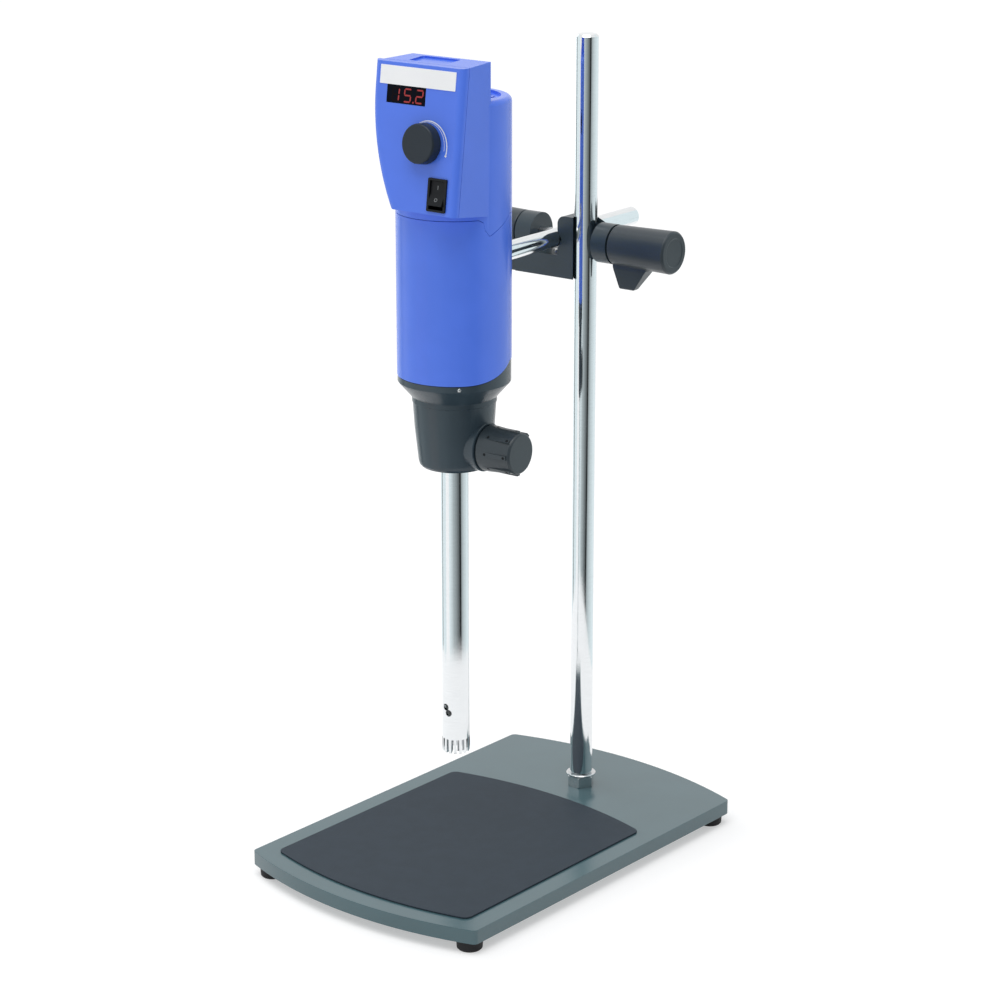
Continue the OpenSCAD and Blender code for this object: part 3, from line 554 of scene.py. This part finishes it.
def row_tree(unit, material):
    """Geometry Nodes that set copies of a unit on a ring or helix round local z."""
    tree = bpy.data.node_groups.new(unit.name + "_row", "GeometryNodeTree")
    for title, kind in (("Count", "NodeSocketInt"), ("Radius", "NodeSocketFloat"),
                        ("Turn", "NodeSocketFloat"), ("Pitch", "NodeSocketFloat")):
        tree.interface.new_socket(title, in_out="INPUT", socket_type=kind)
    tree.interface.new_socket("Geometry", in_out="OUTPUT", socket_type="NodeSocketGeometry")
    link = tree.links.new
    start = tree.nodes.new("NodeGroupInput").outputs
    index = tree.nodes.new("GeometryNodeInputIndex").outputs[0]

    def maths(operation, a, b=None):
        n = tree.nodes.new("ShaderNodeMath")
        n.operation = operation
        link(a, n.inputs[0])
        if b is not None:
            link(b, n.inputs[1])
        return n.outputs[0]

    angle = maths("MULTIPLY", index, start["Turn"])
    spot = tree.nodes.new("ShaderNodeCombineXYZ")
    link(maths("MULTIPLY", start["Radius"], maths("COSINE", angle)), spot.inputs["X"])
    link(maths("MULTIPLY", start["Radius"], maths("SINE", angle)), spot.inputs["Y"])
    link(maths("MULTIPLY", index, start["Pitch"]), spot.inputs["Z"])
    euler = tree.nodes.new("ShaderNodeCombineXYZ")
    link(angle, euler.inputs["Z"])
    turn = tree.nodes.new("FunctionNodeEulerToRotation")
    link(euler.outputs[0], turn.inputs[0])
    line = tree.nodes.new("GeometryNodeMeshLine")
    link(start["Count"], line.inputs["Count"])
    placed = tree.nodes.new("GeometryNodeSetPosition")
    link(line.outputs["Mesh"], placed.inputs["Geometry"])
    link(spot.outputs[0], placed.inputs["Position"])
    source = tree.nodes.new("GeometryNodeObjectInfo")
    source.inputs["Object"].default_value = unit
    copies = tree.nodes.new("GeometryNodeInstanceOnPoints")
    link(placed.outputs["Geometry"], copies.inputs["Points"])
    link(source.outputs["Geometry"], copies.inputs["Instance"])
    link(turn.outputs[0], copies.inputs["Rotation"])
    real = tree.nodes.new("GeometryNodeRealizeInstances")
    link(copies.outputs["Instances"], real.inputs["Geometry"])
    paint = tree.nodes.new("GeometryNodeSetMaterial")
    paint.inputs["Material"].default_value = material
    link(real.outputs["Geometry"], paint.inputs["Geometry"])
    link(paint.outputs["Geometry"], tree.nodes.new("NodeGroupOutput").inputs["Geometry"])
    return tree


def copies_mesh(unit_mesh, values, material):
    """The mesh of a row of copies, in the row's own frame."""
    unit = bpy.data.objects.new(unit_mesh.name, unit_mesh)
    bpy.context.scene.collection.objects.link(unit)
    carrier = bpy.data.objects.new(unit_mesh.name + "_row", bpy.data.meshes.new(unit_mesh.name + "_row"))
    bpy.context.scene.collection.objects.link(carrier)
    tree = row_tree(unit, material)
    row = carrier.modifiers.new("row", "NODES")
    row.node_group = tree
    for item in tree.interface.items_tree:
        if item.in_out == "INPUT":
            row[item.identifier] = values[item.name]
    mesh = baked(carrier)
    bpy.data.objects.remove(unit)
    return mesh


def joined(name, meshes_and_places):
    """Several placed meshes as one."""
    bm = bmesh.new()
    for part, place in meshes_and_places:
        moved = part.copy()
        moved.transform(place)
        bm.from_mesh(moved)
        bpy.data.meshes.remove(moved)
    mesh = from_bmesh(name, bm)
    shade(mesh)
    return mesh


def upright_plate(name, outline, thickness):
    """A flat outline in (radius, height), in millimetres, standing on a radius of a row."""
    bm = bmesh.new()
    prism(bm, outline, -thickness / 2, thickness / 2, Matrix.Rotation(QUARTER, 4, "X"))
    return from_bmesh(name, bm)


def soft_box(w, h, corner):
    """A box outline with rounded corners about its middle."""
    x, y, c, d = w / 2, h / 2, corner, 0.3 * corner
    return [(x - c, -y), (x - d, d - y), (x, c - y), (x, y - c), (x - d, y - d), (x - c, y),
            (c - x, y), (d - x, y - d), (-x, y - c), (-x, c - y), (d - x, d - y), (c - x, -y)]


def unit_mesh(name, profile, place):
    """A small turned unit for a row."""
    bm = bmesh.new()
    turned(bm, profile, place, 16)
    return from_bmesh(name, bm, outward=False)


def ring_values(count, radius):
    """Inputs for copies all round one turn at that radius in millimetres."""
    return {"Count": count, "Radius": radius * MM, "Turn": math.tau / count, "Pitch": 0.0}


# dimples on the tool knob's ribs: flat discs barely proud of the ribs, in a near black that paints the shade
# of their hollows
RIBS, RIB_TOP = 8, 15.3
dimple = unit_mesh("dimple", [(0, -0.3), (1.0, -0.3), (1.0, 0.03), (0.85, 0.05), (0, 0.05)],
                   Matrix.Rotation(QUARTER, 4, "Y"))
dimple_ring = copies_mesh(dimple, ring_values(RIBS, RIB_TOP), PAINTED_RECESS_SHADE)
KNOB_BASE, DIMPLES_OUT = 28, (8.2, 23.4)
AT_TOOL_KNOB = AT_DRIVE @ Matrix.Translation((KNOB_BASE * MM, 0, TOOL_CLAMP_HEIGHT))
AT_TOOL_KNOB = AT_TOOL_KNOB @ Matrix.Rotation(QUARTER, 4, "Y")
dimple_rings = [(dimple_ring, AT_TOOL_KNOB @ Matrix.Translation((0, 0, z * MM))) for z in DIMPLES_OUT]
mesh_piece("knob_rib_dimples", joined("knob_rib_dimples", dimple_rings), body_by_node["tool_clamp_knob"],
           "knob_plastic", PAINTED_RECESS_SHADE)

# wound coils: wire turns in bundles round both ends of the field and of the armature
WIRE_SHARE = 0.8  # the part of the inner circumference that wire fills
BUNDLE_CORNER = 2.0
for name, node, radius, size, count, heights in (
        ("field_wire_turns", "field_coils", 20.9, (6.84, 7.4), 56, (342.5, 384.1)),
        ("armature_wire_turns", "armature_windings", 10.3, (8.2, 6.9), 36, (344.0, 383.1))):
    wire = WIRE_SHARE * math.tau * (radius - size[0] / 2) / count
    turn = upright_plate(name + "_unit", soft_box(*size, BUNDLE_CORNER), wire)
    ring = copies_mesh(turn, ring_values(count, radius), FINISH["coil_copper"])
    rings = [(ring, AT_DRIVE @ Matrix.Translation((0, 0, (h + size[1] / 2) * MM))) for h in heights]
    mesh_piece(name, joined(name, rings), body_by_node[node], "coil_copper")

# grip ribs round the dome of the cable gland
GLAND_HEIGHT, GLAND_RIBS, GLAND_RADIUS, GLAND_OUT = 470, 12, 6.6, 44.5
AT_GLAND = AT_DRIVE @ Matrix.Translation((0, 0, GLAND_HEIGHT * MM)) @ Matrix.Rotation(-QUARTER, 4, "X")
gland_rib = upright_plate("gland_rib_unit", [(-1.4, 0), (0.7, 0), (0.75, 1.2), (-0.1, 4.6), (-1.4, 4.6)], 1.1)
gland_ring = copies_mesh(gland_rib, ring_values(GLAND_RIBS, GLAND_RADIUS), FINISH["black_plastic"])
gland_place = AT_GLAND @ Matrix.Translation((0, 0, GLAND_OUT * MM))
mesh_piece("gland_ribs", joined("gland_ribs", [(gland_ring, gland_place)]), body_by_node["cable_gland"],
           "black_plastic")

# ---------- floor, light and camera ----------


SEEN = ("Is Camera Ray", "Is Glossy Ray", "Is Transmission Ray")


def seen_ray(tree):
    """1 for the kinds of ray that show the background, else 0."""
    path = tree.nodes.new("ShaderNodeLightPath")
    total = path.outputs[SEEN[0]]
    for kind in SEEN[1:]:
        n = tree.nodes.new("ShaderNodeMath")
        n.operation = "MAXIMUM"
        tree.links.new(total, n.inputs[0])
        tree.links.new(path.outputs[kind], n.inputs[1])
        total = n.outputs[0]
    return total


FLOOR_GREY, FLOOR_SEEN_GREY, FLOOR_GLOW, FLOOR_SIZE = 0.8, 0.62, 0.43, 60
WORLD_LIGHT_COLOR, WORLD_LIGHT = (0.97, 0.98, 1.0, 1), 0.52


def floor():
    """A plain pale floor: it glows a little where it is seen, so it stays as pale as the background."""
    m = bpy.data.materials.new("pale_floor")
    m.use_nodes = True
    tree = m.node_tree
    tree.nodes.clear()
    out = tree.nodes.new("ShaderNodeOutputMaterial")
    plain = tree.nodes.new("ShaderNodeBsdfDiffuse")
    plain.inputs["Color"].default_value = (*[FLOOR_GREY] * 3, 1)
    pale = tree.nodes.new("ShaderNodeBsdfDiffuse")
    pale.inputs["Color"].default_value = (*[FLOOR_SEEN_GREY] * 3, 1)
    glow = tree.nodes.new("ShaderNodeEmission")
    glow.inputs["Color"].default_value = (1, 1, 1, 1)
    glow.inputs["Strength"].default_value = FLOOR_GLOW
    both = tree.nodes.new("ShaderNodeAddShader")
    pick = tree.nodes.new("ShaderNodeMixShader")
    tree.links.new(pale.outputs[0], both.inputs[0])
    tree.links.new(glow.outputs[0], both.inputs[1])
    tree.links.new(seen_ray(tree), pick.inputs[0])
    tree.links.new(plain.outputs[0], pick.inputs[1])
    tree.links.new(both.outputs[0], pick.inputs[2])
    tree.links.new(pick.outputs[0], out.inputs[0])
    mesh = bpy.data.meshes.new("floor")
    edge = FLOOR_SIZE
    corners = [(-edge, -edge, 0), (edge, -edge, 0), (edge, edge, 0), (-edge, edge, 0)]
    mesh.from_pydata(corners, [], [(0, 1, 2, 3)])
    o = bpy.data.objects.new("floor", mesh)
    mesh.materials.append(m)
    bpy.context.scene.collection.objects.link(o)


def world():
    """White where it is seen or mirrored, softer as a light."""
    w = bpy.data.worlds.new("studio")
    bpy.context.scene.world = w
    w.use_nodes = True
    tree = w.node_tree
    tree.nodes.clear()
    out = tree.nodes.new("ShaderNodeOutputWorld")
    seen = tree.nodes.new("ShaderNodeBackground")
    seen.inputs["Color"].default_value = (1, 1, 1, 1)
    seen.inputs["Strength"].default_value = 1.0
    light = tree.nodes.new("ShaderNodeBackground")
    light.inputs["Color"].default_value = WORLD_LIGHT_COLOR
    light.inputs["Strength"].default_value = WORLD_LIGHT
    pick = tree.nodes.new("ShaderNodeMixShader")
    tree.links.new(seen_ray(tree), pick.inputs[0])
    tree.links.new(light.outputs[0], pick.inputs[1])
    tree.links.new(seen.outputs[0], pick.inputs[2])
    tree.links.new(pick.outputs[0], out.inputs[0])


def lamp(name, kind, where, aim):
    """A lamp at one point that faces another; returns its settings."""
    data = bpy.data.lights.new(name, kind)
    o = bpy.data.objects.new(name, data)
    o.location = where
    o.rotation_euler = (Vector(aim) - Vector(where)).to_track_quat("-Z", "Y").to_euler()
    bpy.context.scene.collection.objects.link(o)
    return data


def around(middle_point, bearing, distance, height):
    """A point at a bearing in degrees, counted from +X towards +Y, a distance and a height."""
    a = math.radians(bearing)
    return (middle_point.x + distance * math.cos(a), middle_point.y + distance * math.sin(a), height)


SCREEN_TINT = (0.86, 0.97, 1.0)


def screen(name, profile, stops):
    """A studio screen well clear of the part that only glossy surfaces mirror, from its inner side.

    The profile holds distances from the drive and heights; each stop is a bearing in degrees and the
    brightness there, 1 at most."""
    m = bpy.data.materials.new(name)
    m.use_nodes = True
    tree = m.node_tree
    tree.nodes.clear()
    out = tree.nodes.new("ShaderNodeOutputMaterial")
    glow = tree.nodes.new("ShaderNodeEmission")
    clear = tree.nodes.new("ShaderNodeBsdfTransparent")
    side = tree.nodes.new("ShaderNodeNewGeometry")
    pick = tree.nodes.new("ShaderNodeMixShader")
    level = tree.nodes.new("ShaderNodeAttribute")
    level.attribute_name = "level"
    tree.links.new(level.outputs["Color"], glow.inputs["Color"])
    tree.links.new(side.outputs["Backfacing"], pick.inputs[0])
    tree.links.new(glow.outputs[0], pick.inputs[1])
    tree.links.new(clear.outputs[0], pick.inputs[2])
    tree.links.new(pick.outputs[0], out.inputs[0])
    bands = len(profile)
    places = [around(MOTOR, bearing, distance, height)
              for bearing, _ in stops for distance, height in profile]
    faces = [(bands * i + k, bands * i + k + 1, bands * (i + 1) + k + 1, bands * (i + 1) + k)
             for i in range(len(stops) - 1) for k in range(bands - 1)]
    mesh = bpy.data.meshes.new(name)
    mesh.from_pydata(places, [], faces)
    colors = mesh.color_attributes.new("level", "FLOAT_COLOR", "POINT")
    for i, (_, value) in enumerate(stops):
        for corner in range(bands * i, bands * (i + 1)):
            colors.data[corner].color = (*(value * tone for tone in SCREEN_TINT), 1)
    mesh.materials.append(m)
    o = bpy.data.objects.new(name, mesh)
    o.visible_camera = False
    o.visible_diffuse = False
    o.visible_shadow = False
    bpy.context.scene.collection.objects.link(o)


floor()
world()
SUN_POWER, SUN_SPREAD = 1.57, math.radians(50)
sun = lamp("soft_sun", "SUN", (0.2, -0.85, 3.0), (0, 0, 0))
sun.energy = SUN_POWER
sun.angle = SUN_SPREAD
SOFTBOX_POWER, SOFTBOX_WIDTH, SOFTBOX_HEIGHT = 7, 1.0, 1.4
side = lamp("side_softbox", "AREA", around(MOTOR, 178, 1.3, 0.55), (MOTOR.x, MOTOR.y, 0.35))
side.shape = "RECTANGLE"
side.size, side.size_y = SOFTBOX_WIDTH, SOFTBOX_HEIGHT
side.energy = SOFTBOX_POWER
SCREEN_PROFILE = ((0.40, 0.01), (0.75, 0.22), (0.75, 1.2))
screen("right_screen", SCREEN_PROFILE, (
    (-100, 1.0), (-85, 0.9), (-72, 0.7), (-62, 0.52), (-45, 0.38), (-28, 0.22), (-15, 0.10),
    (-12, 0.02), (-3, 0.02), (1, 0.35), (10, 0.55), (25, 0.75), (45, 0.9), (60, 1.0), (84, 1.0)))
screen("left_screen", SCREEN_PROFILE, (
    (-200, 1.0), (-181, 1.0), (-179, 0.08), (-172, 0.08), (-170, 1.0), (-158, 1.0), (-130, 1.0)))
screen("arm_screen", ((0.44, 0.352), (0.44, 0.385)), ((56, 0.25), (60, 0.05), (95, 0.05), (100, 0.25)))

CAMERA_LENS, CAMERA_SPOT = 104.73, (1.2050, -1.4547, 0.8326)
CAMERA_DIP, CAMERA_BEARING = 17.075, 39.794  # degrees below level, and to the right of straight in front
camera = bpy.data.cameras.new("camera")
camera.sensor_fit = "HORIZONTAL"
camera.sensor_width = 36
camera.lens = CAMERA_LENS
camera.clip_end = 200
eye = bpy.data.objects.new("camera", camera)
eye.location = CAMERA_SPOT
eye.rotation_euler = (math.radians(90 - CAMERA_DIP), 0, math.radians(CAMERA_BEARING))
bpy.context.scene.collection.objects.link(eye)
bpy.context.scene.camera = eye
bpy.context.scene.view_settings.view_transform = "Standard"
